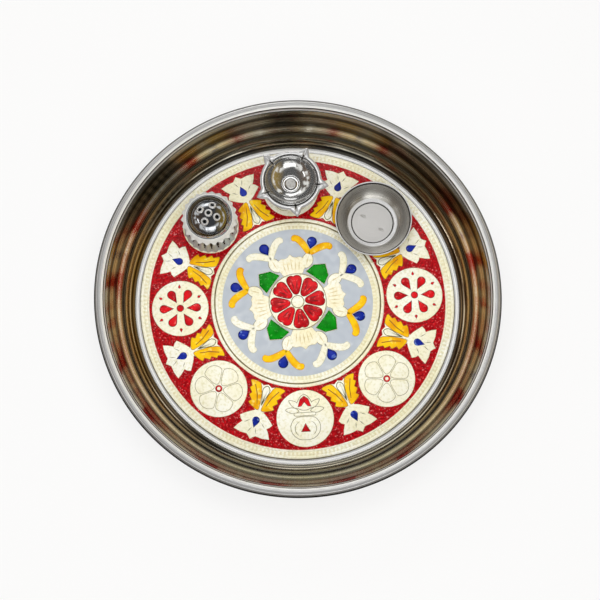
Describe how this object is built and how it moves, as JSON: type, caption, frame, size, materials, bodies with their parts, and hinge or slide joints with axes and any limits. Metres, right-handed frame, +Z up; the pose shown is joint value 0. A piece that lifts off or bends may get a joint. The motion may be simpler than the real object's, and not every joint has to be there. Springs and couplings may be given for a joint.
{
  "type": "puja thali",
  "caption": "Round steel prayer tray with a rolled rim and an enamelled relief floor, holding a spouted oil lamp, an incense-stick stand and a small bowl that lift out.",
  "frame": {"origin": "middle of the pan's flat underside", "axes": "+Z up, the way the tray stands; +Y from the middle towards the lamp; +X to the right of the picture"},
  "size_m": [0.28, 0.2799, 0.037],
  "materials": {
    "polished_steel": "mirror-polished stainless steel",
    "satin_steel": "stainless steel brushed in circles",
    "cream_gold": "cream-gold lacquer on embossed metal",
    "red_enamel": "translucent red enamel over a stippled ground",
    "deep_red_enamel": "glossy enamel",
    "grey_enamel": "glossy enamel",
    "green_enamel": "glossy enamel",
    "yellow_enamel": "glossy enamel",
    "blue_enamel": "glossy enamel"
  },
  "bodies": {
    "tray": {"tray_pan": "polished_steel", "relief_plate": "cream_gold", "red_ground": "red_enamel", "grey_ground": "grey_enamel", "red_petals": "deep_red_enamel", "green_leaves": "green_enamel", "yellow_scrolls": "yellow_enamel", "blue_centre_drops": "blue_enamel", "blue_flower_drops": "blue_enamel", "yellow_flower_leaves": "yellow_enamel", "red_medallion_marks": "deep_red_enamel"},
    "diya": {"diya_bowl": "polished_steel", "diya_foot": "polished_steel", "diya_rivet": "polished_steel"},
    "incense_stand": {"incense_cap": "polished_steel", "incense_base": "polished_steel"},
    "bowl": {"offering_bowl": "satin_steel"}
  },
  "joints": [
    {"name": "diya_lift", "type": "slide", "parent": "tray", "child": "diya", "axis": [0, 0, 1], "range_m": [0, 0.06]},
    {"name": "incense_lift", "type": "slide", "parent": "tray", "child": "incense_stand", "axis": [0, 0, 1], "range_m": [0, 0.06]},
    {"name": "bowl_lift", "type": "slide", "parent": "tray", "child": "bowl", "axis": [0, 0, 1], "range_m": [0, 0.06]}
  ]
}
